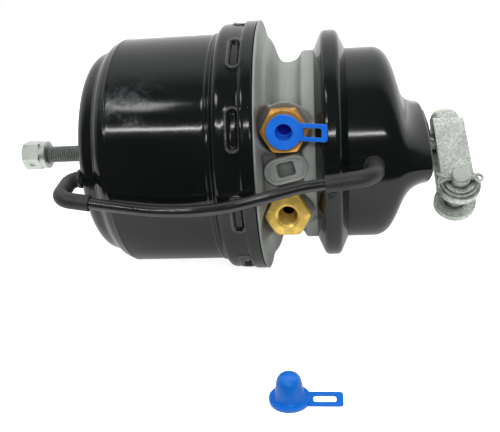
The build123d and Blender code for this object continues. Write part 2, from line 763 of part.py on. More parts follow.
# ---------------------------------------------------------------- clevis
# The fork hangs round the pushrod like a shackle. Its plane has x_dir along the arms,
# towards the pin, and z_dir along the pin.
drop = math.radians(clevis_drop)
arm_way = Vector(0, -math.cos(drop), -math.sin(drop))
pin_way = Vector(0, -math.sin(drop), math.cos(drop))
gap_half = rod_r + soft
fork_half = gap_half + clevis_arm
fork = Plane(origin=(clevis_x, 0, 0), x_dir=arm_way, z_dir=pin_way)
base_u = -gap_half - socket_wall

with BuildPart() as clevis_yoke:
    with BuildSketch(fork.offset(-fork_half)):
        with Locations(((base_u + pin_reach) / 2, 0)):
            Rectangle(pin_reach - base_u, clevis_width)
        with Locations((pin_reach, 0)):
            Circle(eye_r)
    extrude(amount=2 * fork_half)
    fillet(clevis_yoke.edges().filter_by(Axis.X).sort_by(Axis.Y)[-2:], 5.0)
    with BuildSketch(Plane(origin=fork.from_local_coords((base_u + 2, 0, 0)),
                           x_dir=(1, 0, 0), z_dir=-arm_way)):
        Circle(socket_r)
    extrude(amount=socket_length + 2)
    with BuildSketch(Plane(origin=(clevis_x - eye_r - 1, 0, 0), x_dir=arm_way, z_dir=(1, 0, 0))):
        Circle(gap_half)
        with Locations((pin_reach, 0)):
            Rectangle(2 * pin_reach, 2 * gap_half)
    extrude(amount=2 * eye_r + 2, mode=Mode.SUBTRACT)
    with BuildSketch(fork.offset(-fork_half - 1)):
        with Locations((pin_reach, 0)):
            Circle(pin_r + fit)
    extrude(amount=2 * fork_half + 2, mode=Mode.SUBTRACT)
    with BuildSketch(Plane(origin=fork.from_local_coords((base_u - socket_length, 0, 0)),
                           x_dir=(1, 0, 0), z_dir=arm_way)):
        Circle(port_bore_r)
    extrude(amount=socket_length + socket_wall + 4, mode=Mode.SUBTRACT)
finish(clevis_yoke, "clevis_yoke")

with BuildPart() as clevis_thread_plug:
    with BuildSketch(Plane(origin=fork.from_local_coords((base_u - socket_length, 0, 0)),
                           x_dir=(1, 0, 0), z_dir=arm_way)):
        Circle(port_bore_r - seat)
    extrude(amount=10)
    with BuildSketch(Plane(origin=fork.from_local_coords((base_u - socket_length, 0, 0)),
                           x_dir=(1, 0, 0), z_dir=-arm_way)):
        Circle(port_bore_r + 3.2)
    extrude(amount=plug_rim)
finish(clevis_thread_plug, "clevis_thread_plug")

pin_head = 4.0
pin_tail = 10.5
washer_height = 1.7
split_r = 1.6
split_rise = 6.4         # arm face to the split pin
split_centre = fork.from_local_coords((pin_reach, 0, fork_half + split_rise))
split_plane = Plane(origin=split_centre, x_dir=arm_way, z_dir=(1, 0, 0))
with BuildPart() as clevis_pin:
    with BuildSketch(fork.offset(-fork_half - seat - pin_head)):
        with Locations((pin_reach, 0)):
            Circle(pin_r + 3.5)
    extrude(amount=pin_head)
    with BuildSketch(fork.offset(-fork_half - seat)):
        with Locations((pin_reach, 0)):
            Circle(pin_r)
    extrude(amount=2 * fork_half + seat + pin_tail)
    chamfer(clevis_pin.faces().sort_by(Axis.Z)[-1].edges(), 1.0)
    with BuildSketch(split_plane):
        Circle(split_r + seat)
    extrude(amount=pin_r + 1, both=True, mode=Mode.SUBTRACT)
finish(clevis_pin, "clevis_pin")

with BuildPart() as clevis_washers:
    with BuildSketch(fork.offset(fork_half + seat)):
        with Locations((pin_reach, 0)):
            Circle(eye_r - 2)
            Circle(pin_r + seat, mode=Mode.SUBTRACT)
    extrude(amount=washer_height)
    with BuildSketch(fork.offset(fork_half + seat + washer_height)):
        with Locations((pin_reach, 0)):
            Circle(pin_r + 4.2)
            Circle(pin_r + seat, mode=Mode.SUBTRACT)
    extrude(amount=washer_height)
finish(clevis_washers, "clevis_washers")

# The split pin's two half-round legs lie together in the hole, and its ends are opened.
split_reach = pin_r + 1.5
eye_ring_r = 3.0
leg_r = 0.8
with BuildPart() as split_pin:
    with BuildSketch(split_plane.offset(-split_reach)):
        Circle(split_r)
    extrude(amount=2 * split_reach + 1)
    with BuildSketch(Plane(origin=split_centre + Vector(split_reach + eye_ring_r + 1, 0, 0),
                           x_dir=(1, 0, 0), z_dir=pin_way)):
        Circle(eye_ring_r + leg_r)
        Circle(eye_ring_r - leg_r, mode=Mode.SUBTRACT)
    extrude(amount=leg_r, both=True)
    for side in (-1, 1):
        with BuildLine() as leg:
            FilletPolyline(split_plane.from_local_coords((side * 0.7, 0, -split_reach + 3)),
                           split_plane.from_local_coords((side * 0.7, 0, -split_reach - 1.5)),
                           split_plane.from_local_coords((side * 5.0, 0, -split_reach - 8)),
                           radius=2.0)
        with BuildSketch(Plane(origin=leg.line @ 0, z_dir=leg.line % 0)):
            Circle(leg_r)
        sweep(path=leg.line)
finish(split_pin, "split_pin")

# ---------------------------------------------------------------- breather hose
def hose_path(points):
    """Straight runs joined by tangent arcs as large as the runs allow."""
    here = Vector(*points[0])
    for before, corner, after in zip(points, points[1:], points[2:]):
        arrive = Vector(*corner) - Vector(*before)
        leave = Vector(*after) - Vector(*corner)
        reach = 0.45 * min(arrive.length, leave.length)
        start = Vector(*corner) - arrive.normalized() * reach
        end = Vector(*corner) + leave.normalized() * reach
        Line(here, start)
        TangentArc(start, end, tangent=arrive)
        here = end
    Line(here, Vector(*points[-1]))


spring_turn_x = end_x - spring_elbow_out
spring_route = ((end_x, spring_elbow_y, 0), (spring_turn_x, spring_elbow_y, 0),
                (spring_turn_x, hose_y, -5.0), (spring_turn_x + 22.4, hose_y, -9.0))
wall_hole = radial(breather_x, breather_turn, bowl_r)
service_turn = radial(breather_x, breather_turn, -hose_service_y)
service_route = (tuple(wall_hole.origin), tuple(service_turn.origin),
                 (breather_x - 34.0, hose_service_y, 1.5))
elbows = (("breather_elbow_spring", spring_route, spring_elbow_bend),
          ("breather_elbow_service", service_route, service_elbow_bend))
for name, route, bend in elbows:
    with BuildLine() as elbow_line:
        FilletPolyline(*route, radius=bend)
    foot = Plane(origin=elbow_line.line @ 0, z_dir=elbow_line.line % 0)
    mouth = Plane(origin=elbow_line.line @ 1, z_dir=elbow_line.line % 1)
    with BuildPart() as elbow:
        with BuildSketch(foot):
            Circle(elbow_r)
        sweep(path=elbow_line.line)
        with BuildSketch(foot):
            Circle(elbow_disc_r)
        extrude(amount=elbow_disc)
        if name == "breather_elbow_service":
            with BuildSketch(across_x(breather_x - 2 * elbow_disc_r)):
                Circle(bowl_r + seat)
            extrude(amount=4 * elbow_disc_r, mode=Mode.SUBTRACT)
        with BuildSketch(foot.offset(elbow_disc)):
            Circle(elbow_stub_r)
        extrude(amount=-elbow_disc - bowl_wall - 2)
        with BuildSketch(foot.offset(-bowl_wall - 2)):
            Circle(elbow_bore_r)
        extrude(amount=bowl_wall + 2, mode=Mode.SUBTRACT)
        with BuildSketch(foot):
            Circle(elbow_bore_r)
        sweep(path=elbow_line.line, mode=Mode.SUBTRACT)
        with BuildSketch(mouth):
            Circle(hose_r + seat)
        extrude(amount=-sleeve_depth - seat, mode=Mode.SUBTRACT)
    finish(elbow, name)


def sleeve_point(route, beyond):
    """Point on the last run's line, beyond the mouth of the elbow's sleeve."""
    last = Vector(*route[-1])
    return tuple(last + (last - Vector(*route[-2])).normalized() * beyond)


hose_route = (sleeve_point(spring_route, -sleeve_depth), sleeve_point(spring_route, 15),
              (-196.0, -98.4, -17.0), (-166.0, -99.2, -17.5), (-141.0, -106.0, -12.5),
              (-116.0, -107.0, -6.0), sleeve_point(service_route, 18),
              sleeve_point(service_route, -sleeve_depth))
with BuildPart() as breather_tube:
    with BuildLine() as hose_line:
        hose_path(hose_route)
    with BuildSketch(Plane(origin=hose_line.line @ 0, z_dir=hose_line.line % 0)):
        Circle(hose_r)
    sweep(path=hose_line.line)
finish(breather_tube, "breather_tube")
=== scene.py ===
import json
import math

import bmesh
import bpy
from mathutils import Matrix, Vector


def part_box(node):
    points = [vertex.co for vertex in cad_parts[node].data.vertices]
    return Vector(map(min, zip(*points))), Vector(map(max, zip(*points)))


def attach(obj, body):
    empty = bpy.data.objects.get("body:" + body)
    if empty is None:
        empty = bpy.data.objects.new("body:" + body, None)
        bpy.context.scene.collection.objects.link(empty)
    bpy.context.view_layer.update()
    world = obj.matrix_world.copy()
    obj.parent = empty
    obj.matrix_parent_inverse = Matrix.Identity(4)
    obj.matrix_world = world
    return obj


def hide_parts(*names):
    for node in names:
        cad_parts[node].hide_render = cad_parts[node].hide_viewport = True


# Lengths are in metres, in the CAD model's own frame: +X along the chamber's axis towards the
# pushrod, the air ports facing -Y, and +Z up. Profiles and outlines are in millimetres.
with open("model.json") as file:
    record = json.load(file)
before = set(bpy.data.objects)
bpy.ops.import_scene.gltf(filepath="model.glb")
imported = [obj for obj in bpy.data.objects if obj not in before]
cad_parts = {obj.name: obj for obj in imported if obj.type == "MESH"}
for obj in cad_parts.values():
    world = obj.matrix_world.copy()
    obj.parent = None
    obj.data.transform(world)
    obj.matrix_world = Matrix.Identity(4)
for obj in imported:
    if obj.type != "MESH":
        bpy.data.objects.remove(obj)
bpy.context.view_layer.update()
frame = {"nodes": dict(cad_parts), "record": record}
nodes = frame["nodes"]


def metres(millimetres):
    return millimetres / 1000


# ---------------------------------------------------------------- camera
IMAGE_WIDTH = 500
FOCAL_PIXELS = 649.3
SENSOR_MM = 36.0
CAMERA_PLACE = Vector((-0.0751, -0.5159, 0.1447))
CAMERA_NEAR = 0.01
CAMERA_AZIMUTH = 7.22           # degrees, as are the next two
CAMERA_DROP = 21.63
CAMERA_ROLL = -4.17


def add_camera():
    """The camera that matches the photo."""
    data = bpy.data.cameras.new("camera")
    data.sensor_width = SENSOR_MM
    data.lens = FOCAL_PIXELS / IMAGE_WIDTH * SENSOR_MM
    data.clip_start = CAMERA_NEAR
    camera = bpy.data.objects.new("camera", data)
    bpy.context.scene.collection.objects.link(camera)
    camera.rotation_mode = "QUATERNION"
    turn = (Matrix.Rotation(math.radians(CAMERA_AZIMUTH), 4, "Z")
            @ Matrix.Rotation(math.radians(90 - CAMERA_DROP), 4, "X")
            @ Matrix.Rotation(math.radians(CAMERA_ROLL), 4, "Z"))
    camera.matrix_world = Matrix.Translation(CAMERA_PLACE) @ turn
    bpy.context.scene.camera = camera


# ---------------------------------------------------------------- node helpers
class Shader:
    """A material with one Principled BSDF and short calls to add nodes to it."""

    def __init__(self, name, **values):
        self.material = bpy.data.materials.new(name)
        self.material.use_nodes = True
        self.tree = self.material.node_tree
        self.main = self.tree.nodes["Principled BSDF"]
        self.place = self.node("ShaderNodeTexCoord").outputs["Object"]
        self.bumps = None
        for socket, value in values.items():
            self.main.inputs[socket.replace("_", " ")].default_value = value

    def node(self, kind, **settings):
        made = self.tree.nodes.new(kind)
        for key, value in settings.items():
            setattr(made, key, value)
        return made

    def link(self, source, target):
        self.tree.links.new(source, target)

    def fill(self, socket, value):
        """Set a number or an RGB colour on a socket, or link another node's output to it."""
        if isinstance(value, (int, float)):
            socket.default_value = value
        elif isinstance(value, tuple):
            socket.default_value = (*value, 1.0)
        else:
            self.link(value, socket)

    def stretched(self, stretch):
        """The object's coordinates, scaled by a factor for each axis."""
        if stretch is None:
            return self.place
        made = self.node("ShaderNodeMapping")
        made.inputs["Scale"].default_value = stretch
        self.link(self.place, made.inputs["Vector"])
        return made.outputs["Vector"]

    def noise(self, scale, detail=4.0, roughness=0.55, stretch=None):
        """Cloudy noise about 0.5."""
        made = self.node("ShaderNodeTexNoise")
        made.inputs["Scale"].default_value = scale
        made.inputs["Detail"].default_value = detail
        made.inputs["Roughness"].default_value = roughness
        self.link(self.stretched(stretch), made.inputs["Vector"])
        return made.outputs["Fac"]

    def cells(self, scale, output="Distance"):
        """Cells round scattered points: the distance from the point, or a colour for each cell."""
        made = self.node("ShaderNodeTexVoronoi")
        made.inputs["Scale"].default_value = scale
        self.link(self.place, made.inputs["Vector"])
        return made.outputs[output]

    def spread(self, source, low, high, out_low=0.0, out_high=1.0):
        """A value from low to high, mapped to a range and held inside it."""
        made = self.node("ShaderNodeMapRange")
        made.inputs["From Min"].default_value = low
        made.inputs["From Max"].default_value = high
        made.inputs["To Min"].default_value = out_low
        made.inputs["To Max"].default_value = out_high
        self.link(source, made.inputs["Value"])
        return made.outputs["Result"]

    def mix(self, factor, first, second):
        """A colour between two others, by a factor from 0 to 1."""
        made = self.node("ShaderNodeMix", data_type="RGBA")
        sockets = {socket.identifier: socket for socket in (*made.inputs, *made.outputs)}
        self.fill(sockets["Factor_Float"], factor)
        self.fill(sockets["A_Color"], first)
        self.fill(sockets["B_Color"], second)
        return sockets["Result_Color"]

    def times(self, first, second):
        made = self.node("ShaderNodeMath", operation="MULTIPLY")
        self.fill(made.inputs[0], first)
        self.fill(made.inputs[1], second)
        return made.outputs["Value"]

    def edges(self, distance):
        """1 on faces, less near sharp outer edges."""
        bevel = self.node("ShaderNodeBevel", samples=4)
        bevel.inputs["Radius"].default_value = distance
        shape = self.node("ShaderNodeNewGeometry")
        dot = self.node("ShaderNodeVectorMath", operation="DOT_PRODUCT")
        self.link(bevel.outputs["Normal"], dot.inputs[0])
        self.link(shape.outputs["Normal"], dot.inputs[1])
        return dot.outputs["Value"]

    def corners(self, distance):
        """1 in the open, less in hollows and seams."""
        made = self.node("ShaderNodeAmbientOcclusion", samples=6)
        made.inputs["Distance"].default_value = distance
        return made.outputs["AO"]

    def near(self, centre, stretch, radius):
        """1 at a point of the object, falling to 0 at a stretched radius from it."""
        away = self.node("ShaderNodeVectorMath", operation="SUBTRACT")
        self.link(self.place, away.inputs[0])
        away.inputs[1].default_value = centre
        scaled = self.node("ShaderNodeVectorMath", operation="MULTIPLY")
        self.link(away.outputs["Vector"], scaled.inputs[0])
        scaled.inputs[1].default_value = stretch
        size = self.node("ShaderNodeVectorMath", operation="LENGTH")
        self.link(scaled.outputs["Vector"], size.inputs[0])
        return self.spread(size.outputs["Value"], 0.0, radius, 1.0, 0.0)

    def bump(self, height, strength, distance):
        """Relief from a height, on top of the relief already there."""
        made = self.node("ShaderNodeBump")
        made.inputs["Strength"].default_value = strength
        made.inputs["Distance"].default_value = distance
        self.link(height, made.inputs["Height"])
        if self.bumps:
            self.link(self.bumps.outputs["Normal"], made.inputs["Normal"])
        self.bumps = made
        self.link(made.outputs["Normal"], self.main.inputs["Normal"])

    def soft_edges(self, radius):
        """Edges shaded round, under the first relief; called after every bump."""
        made = self.node("ShaderNodeBevel", samples=6)
        made.inputs["Radius"].default_value = radius
        first = self.bumps
        while first.inputs["Normal"].links:
            first = first.inputs["Normal"].links[0].from_node
        self.link(made.outputs["Normal"], first.inputs["Normal"])

    def colour(self, source):
        self.link(source, self.main.inputs["Base Color"])

    def rough(self, source):
        self.link(source, self.main.inputs["Roughness"])


# ---------------------------------------------------------------- materials
def black_paint():
    """Gloss paint: an orange peel, scuffs on the barrel, pale specks, and dust in its hollows."""
    deep, light = (0.0042, 0.0054, 0.0053), (0.0066, 0.0082, 0.0078)
    scuffed, chipped, dusted = (0.030, 0.036, 0.040), (0.35, 0.36, 0.36), (0.05, 0.05, 0.048)
    rubbed_rough, scuffed_rough = (0.24, 0.24, 0.24), (0.42, 0.42, 0.42)
    s = Shader("black_paint", Metallic=0.0, Specular_IOR_Level=0.5)
    cloud = s.noise(scale=14.0, detail=3.0)
    grain = s.noise(scale=620.0, detail=2.0, roughness=0.6)
    base = s.mix(s.spread(cloud, 0.3, 0.7), deep, light)
    # handling scuffs on the front of the barrel
    patchy = s.spread(s.noise(scale=75.0, detail=6.0, roughness=0.72), 0.48, 0.66)
    scuffs = s.times(patchy, s.near(centre=(-0.213, -0.070, 0.056), stretch=(1.0, 1.3, 1.6),
                                    radius=0.040))
    rubbed = s.spread(s.noise(scale=24.0, detail=5.0, roughness=0.7), 0.60, 0.74, 0.0, 0.35)
    base = s.mix(scuffs, base, scuffed)
    specks = s.spread(s.cells(scale=170.0), 0.0, 0.050, 1.0, 0.0)
    specks = s.times(specks, s.spread(s.noise(scale=55.0, detail=2.0), 0.60, 0.64))
    base = s.mix(specks, base, chipped)
    dusty = s.spread(s.corners(0.010), 0.35, 0.9, 0.5, 0.0)
    base = s.mix(s.times(dusty, rubbed), base, dusted)
    s.colour(base)
    smooth = s.spread(s.mix(0.35, cloud, grain), 0.3, 0.7, 0.085, 0.16)
    s.rough(s.mix(scuffs, s.mix(rubbed, smooth, rubbed_rough), scuffed_rough))
    s.bump(s.noise(scale=210.0, detail=2.0, roughness=0.4), strength=0.035, distance=0.0005)
    s.bump(s.noise(scale=38.0, detail=2.0, roughness=0.4), strength=0.05, distance=0.0010)
    s.soft_edges(0.0006)
    return s.material


def cast_aluminium():
    """Dull grey casting, grainy, paler on its worn edges, and darker in its corners with painted
    shade.
    """
    deep, light, flecked = (0.30, 0.318, 0.297), (0.40, 0.424, 0.394), (0.50, 0.53, 0.49)
    bare, painted_shade = (0.62, 0.63, 0.64), (0.10, 0.10, 0.10)
    s = Shader("cast_aluminium", Metallic=0.55, Specular_IOR_Level=0.4)
    cloud = s.noise(scale=26.0, detail=5.0, roughness=0.6)
    grain = s.noise(scale=650.0, detail=3.0, roughness=0.7)
    tone = s.mix(s.spread(cloud, 0.3, 0.7), deep, light)
    tone = s.mix(s.spread(grain, 0.35, 0.7, 0.0, 0.35), tone, flecked)
    worn = s.spread(s.edges(0.0012), 0.8, 0.98, 1.0, 0.0)
    tone = s.mix(worn, tone, bare)
    # painted shade: darker in corners and hollows
    tone = s.mix(s.spread(s.corners(0.012), 0.3, 0.95, 0.75, 0.0), tone, painted_shade)
    s.colour(tone)
    s.rough(s.spread(grain, 0.3, 0.7, 0.42, 0.62))
    s.bump(grain, strength=0.16, distance=0.0006)
    s.bump(s.noise(scale=120.0, detail=3.0), strength=0.16, distance=0.0010)
    s.soft_edges(0.0008)
    return s.material


def brass(name, warm):
    """Machined brass, from yellow at warm 0 to orange at warm 1, with painted shade in its
    corners.
    """
    bright, dark = (0.97, 0.69 - 0.17 * warm, 0.17 - 0.05 * warm), (0.78, 0.49 - 0.12 * warm, 0.08)
    painted_shade = (0.20, 0.11, 0.03)
    s = Shader(name, Metallic=0.62)
    cloud = s.noise(scale=60.0, detail=4.0)
    lines = s.noise(scale=700.0, detail=2.0, roughness=0.5, stretch=(0.15, 1.0, 0.15))
    tone = s.mix(s.spread(cloud, 0.35, 0.7, 0.0, 0.8), bright, dark)
    # painted shade: dark brown in corners and hollows
    tone = s.mix(s.spread(s.corners(0.004), 0.2, 0.9, 0.8, 0.0), tone, painted_shade)
    s.colour(tone)
    s.rough(s.spread(lines, 0.3, 0.7, 0.20, 0.38))
    s.bump(lines, strength=0.10, distance=0.0003)
    s.bump(s.noise(scale=160.0, detail=3.0), strength=0.07, distance=0.0006)
    s.soft_edges(0.0003)
    return s.material


def zinc(name="zinc", tone=1.0, flake=900.0, contrast=1.0, metal=0.68):
    """Zinc plate in small flakes, each of its own grey, with painted shade in its hollows."""
    def toned(*colour):
        return tuple(part * tone for part in colour)

    s = Shader(name, Metallic=metal)
    flakes = s.cells(scale=flake, output="Color")
    to_grey = s.node("ShaderNodeRGBToBW")
    s.link(flakes, to_grey.inputs["Color"])
    grey = to_grey.outputs["Val"]
    cloud = s.noise(scale=90.0, detail=4.0, roughness=0.65)
    pale = s.mix(s.spread(grey, 0.1, 0.9, 0.5 - contrast / 2, 0.5 + contrast / 2),
                 toned(0.44, 0.48, 0.44), toned(0.90, 0.94, 0.88))
    pale = s.mix(s.spread(cloud, 0.42, 0.68, 0.0, 0.55 * contrast), pale, toned(0.34, 0.37, 0.35))
    # painted shade: near black in hollows and seams
    pale = s.mix(s.spread(s.corners(0.005), 0.35, 0.97, 0.95, 0.0), pale, (0.045, 0.05, 0.045))
    s.colour(pale)
    s.rough(s.spread(grey, 0.0, 1.0, 0.28, 0.48))
    s.bump(s.noise(scale=800.0, detail=3.0, roughness=0.6), strength=0.14, distance=0.0004)
    s.soft_edges(0.0004)
    return s.material


def steel():
    """Bare steel with tool marks round the axis."""
    dark, light = (0.36, 0.36, 0.35), (0.55, 0.55, 0.54)
    s = Shader("steel", Metallic=1.0)
    lines = s.noise(scale=500.0, detail=3.0, roughness=0.6, stretch=(1.0, 0.2, 0.2))
    s.colour(s.mix(s.spread(lines, 0.3, 0.7), dark, light))
    s.rough(s.spread(lines, 0.3, 0.7, 0.3, 0.45))
    s.bump(lines, strength=0.08, distance=0.0003)
    return s.material


def rubber(name, grey, rough_low, rough_high, shine=0.42):
    """A plain dark surface with a fine grain: rubber, hose, painted wire and guide rings."""
    deep, light = (grey, grey, grey * 1.04), (grey * 1.7, grey * 1.7, grey * 1.75)
    s = Shader(name, Specular_IOR_Level=shine)
    cloud = s.noise(scale=45.0, detail=4.0)
    grain = s.noise(scale=900.0, detail=2.0)
    s.colour(s.mix(s.spread(cloud, 0.3, 0.7), deep, light))
    s.rough(s.spread(grain, 0.3, 0.7, rough_low, rough_high))
    s.bump(grain, strength=0.10, distance=0.0004)
    s.bump(s.noise(scale=110.0, detail=3.0), strength=0.08, distance=0.0008)
    return s.material


def plastic(name, base, shade, rough):
    """Moulded plastic; the hollow of the port cap is deep blue with painted shade."""
    hollow_shade_blue = (0.004, 0.006, 0.26)
    s = Shader(name, Specular_IOR_Level=0.45, Subsurface_Weight=0.05, Subsurface_Scale=0.002)
    cloud = s.noise(scale=120.0, detail=3.0)
    tone = s.mix(s.spread(cloud, 0.35, 0.65), base, shade)
    # painted shade: the hollow of the port cap turns deep blue
    hollow = s.near(centre=(-0.103, -0.070, 0.0315), stretch=(1.0, 0.45, 1.0), radius=0.0066)
    s.colour(s.mix(s.spread(hollow, 0.08, 0.30), tone, hollow_shade_blue))
    s.rough(s.spread(s.noise(scale=700.0, detail=2.0), 0.3, 0.7, rough - 0.05, rough + 0.07))
    s.bump(s.noise(scale=260.0, detail=3.0), strength=0.05, distance=0.0005)
    s.soft_edges(0.0004)
    return s.material


MATERIALS = {
    "black_paint": black_paint(),
    "cast_aluminium": cast_aluminium(),
    "brass": brass("brass", 0.0),
    "zinc": zinc(),
    "bolt": zinc("bolt", tone=0.62),
    "steel": steel(),
    "spring_steel": rubber("spring_steel", 0.03, 0.25, 0.40),
    "rubber": rubber("rubber", 0.014, 0.50, 0.68),
    "hose": rubber("hose", 0.022, 0.36, 0.50),
    "blue_plastic": plastic("blue_plastic", (0.012, 0.17, 0.80), (0.018, 0.20, 0.86), 0.34),
    "pale_plastic": plastic("pale_plastic", (0.62, 0.66, 0.58), (0.70, 0.73, 0.66), 0.35),
    "guide_plastic": rubber("guide_plastic", 0.03, 0.4, 0.55),
}
WARM_BRASS = brass("warm_brass", 1.0)
SHINY_HOSE = rubber("shiny_hose", 0.011, 0.14, 0.24, shine=0.9)
SMOOTH_ZINC = zinc("smooth_zinc", flake=2000.0, contrast=0.35, metal=0.8)
# a darker copy of the blue plastic: painted shade on the loose port cap
SHADED_BLUE = plastic("shaded_blue", (0.0008, 0.118, 0.50), (0.002, 0.135, 0.56), 0.36)
# lighter copy of the black paint on the key beads: its paler base is painted highlight, its shine
# and roughness are real
BEAD_SHEEN_PAINT = rubber("bead_sheen_paint", 0.022, 0.20, 0.30, shine=1.0)

# nodes that look a little different from the rest of their slot
OWN_MATERIALS = {
    "service_port_adapter": WARM_BRASS,
    "breather_tube": SHINY_HOSE,
    "release_bolt_hex": SMOOTH_ZINC,
    "clevis_pin": SMOOTH_ZINC,
    "split_pin": SMOOTH_ZINC,
    "loose_port_cap": SHADED_BLUE,
}


def dress_nodes():
    """Give each CAD node the material of its slot, or its own."""
    slot_of = {part["node"]: part["material_slot"] for part in frame["record"]["subparts"]}
    for name, node in nodes.items():
        node.data.materials.clear()
        node.data.materials.append(OWN_MATERIALS.get(name, MATERIALS[slot_of[name]]))


# ---------------------------------------------------------------- turned pieces
def even_turns(count):
    return [math.tau * step / count for step in range(count)]


def join_rows(made, rows):
    """Faces between each row of vertices and the next; each row is a closed ring."""
    for first, second in zip(rows, rows[1:]):
        for step in range(len(first)):
            after = (step + 1) % len(first)
            made.faces.new((first[step], first[after], second[after], second[step]))


def smooth_piece(name, made):
    """An object in the scene from a bmesh, shaded smooth."""
    bmesh.ops.recalc_face_normals(made, faces=made.faces)
    mesh = bpy.data.meshes.new(name)
    made.to_mesh(mesh)
    made.free()
    mesh.shade_smooth()
    piece = bpy.data.objects.new(name, mesh)
    bpy.context.scene.collection.objects.link(piece)
    return piece


def turned(name, centre, along, across, rings, turns, sharp=32, hollow=False):
    """A closed skin round an axis.

    Each ring is its place along the axis and its radius, or a function from turn to radius. A
    hollow skin joins its last ring to its first, and any other has a flat end at both. Edges
    past the sharp angle, in degrees, stay crisp.
    """
    along, across = Vector(along), Vector(across)
    up = along.cross(across)
    made = bmesh.new()
    rows = []
    for place, radius in rings:
        row = []
        for turn in turns:
            r = radius(turn) if callable(radius) else radius
            row.append(made.verts.new(Vector(centre) + along * place
                                      + across * (r * math.cos(turn)) + up * (r * math.sin(turn))))
        rows.append(row)
    join_rows(made, rows + rows[:1] if hollow else rows)
    if not hollow:
        made.faces.new(list(reversed(rows[0])))
        made.faces.new(rows[-1])
    piece = smooth_piece(name, made)
    piece.data.set_sharp_from_angle(angle=math.radians(sharp))
    return piece


THREAD_STEPS = 8                # rings to one pitch
THREAD_SHARP = 1.35             # height of the sharp V, in depths of the thread
THREAD_FLAT = 0.175             # what is cut off it, at the crest and at the root
HEXAGON_HALF = math.pi / 6      # half the turn of one side


def thread_rings(start, end, crest, depth, pitch, inward=False):
    """Rings of a V thread, cut flat at crest and root, that fades out at both ends."""
    rings = []
    count = int(round((end - start) / pitch * THREAD_STEPS))
    sign = 1 if inward else -1
    for k in range(count + 1):
        place = start + (end - start) * k / count
        fade = min(1.0, (place - start) / pitch, (end - place) / pitch)

        def radius(turn, place=place, fade=fade):
            wave = abs(((place / pitch + turn / math.tau) % 1.0) * 2 - 1)
            cut = min(1.0, max(0.0, wave * THREAD_SHARP - THREAD_FLAT))
            return crest + sign * depth * fade * cut

        rings.append((place, radius))
    return rings


def hexagon_radius(flats, limit):
    """Radius of a hexagon, by its width across flats, inside a round limit."""
    def radius(turn):
        part = (turn + HEXAGON_HALF) % (2 * HEXAGON_HALF) - HEXAGON_HALF
        return min(flats / 2 / math.cos(HEXAGON_HALF - abs(part)), limit)
    return radius


def threaded_bolt():
    """The release bolt: hidden end in the hex, threaded shank, plain end and head."""
    shank_r, lead, undercut = 0.007, 0.0006, 0.0003
    thread_end, depth, pitch = 0.092, 0.0011, 0.002
    neck, head, chamfer = 0.0102, 0.0100, 0.002     # each from the right end
    low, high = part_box("release_bolt")
    head_r = (high[2] - low[2]) / 2
    left, right = low[0], high[0]
    rings = [(left, shank_r - lead),
             *thread_rings(left + lead, left + thread_end, shank_r, depth, pitch),
             (right - neck, shank_r - undercut), (right - head, head_r),
             (right - chamfer, head_r), (right, head_r - chamfer)]
    bolt = turned("threaded_release_bolt", (0, 0, 0), (1, 0, 0), (0, 1, 0), rings, even_turns(36))
    bolt.data.materials.append(MATERIALS["bolt"])
    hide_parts("release_bolt")
    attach(bolt, "release_bolt_body")


def threaded_port(node, material):
    """A brass port with its thread cut, seen down the open bore."""
    stub_r, mouth_r, bore_r, throat_r = 0.011, 0.00919, 0.00719, 0.0045
    hex_height, mouth, thread_end, bore_end = 0.009, 0.0012, 0.0145, 0.0150     # from the face
    depth, pitch, relief = 0.0008, 0.0015, 0.0002
    rim, past_corner, slope, chamfer_rings = 0.0003, 0.001, 0.6, 4      # of the hexagon's chamfers
    seam = 0.00001              # keeps the last ring off the first
    low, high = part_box(node)
    centre = ((low[0] + high[0]) / 2, 0.0, (low[2] + high[2]) / 2)
    face, back = -low[1], -high[1]
    flats = high[2] - low[2]
    corner_r = (high[0] - low[0]) / 2
    base = face - hex_height
    round_r = flats / 2 - rim
    rise = (corner_r + past_corner - flats / 2 + rim) * slope
    chamfer = [rise * k / chamfer_rings for k in range(1, chamfer_rings + 1)]
    rings = [(back, throat_r), (back, stub_r), (base, stub_r), (base, round_r)]
    rings += [(base + up, hexagon_radius(flats, round_r + up / slope)) for up in chamfer]
    rings += [(face - up, hexagon_radius(flats, round_r + up / slope)) for up in reversed(chamfer)]
    rings += [(face, round_r), (face, mouth_r), (face - mouth, bore_r + relief)]
    rings += reversed(thread_rings(face - thread_end, face - mouth, bore_r, depth, pitch, True))
    rings += [(face - bore_end, bore_r), (face - bore_end, throat_r), (back, throat_r - seam)]
    port = turned("threaded_" + node, centre, (0, -1, 0), (1, 0, 0), rings, even_turns(72))
    port.data.materials.append(material)
    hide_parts(node)
    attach(port, "housing")


# ---------------------------------------------------------------- pressed and cast bodies
def soft_step(low, high, value):
    """0 below low, 1 above high, and an S curve between them."""
    part = min(1.0, max(0.0, (value - low) / (high - low)))
    return part * part * (3 - 2 * part)


def along_profile(profile, place):
    """Radius of a profile at a place along the axis, in millimetres; past its end, the last."""
    for (x0, r0), (x1, r1) in zip(profile, profile[1:]):
        if x0 <= place <= x1:
            return r0 + (r1 - r0) * (place - x0) / (x1 - x0)
    return profile[-1][1]


def stations(*spans):
    """Places from joined spans of (start, end, step), each place once."""
    places = []
    for start, end, step in spans:
        count = max(1, round((end - start) / step))
        places += [start + (end - start) * k / count for k in range(count)]
    return places + [spans[-1][1]]


def in_metres(profile):
    return [(metres(place), metres(radius)) for place, radius in profile]


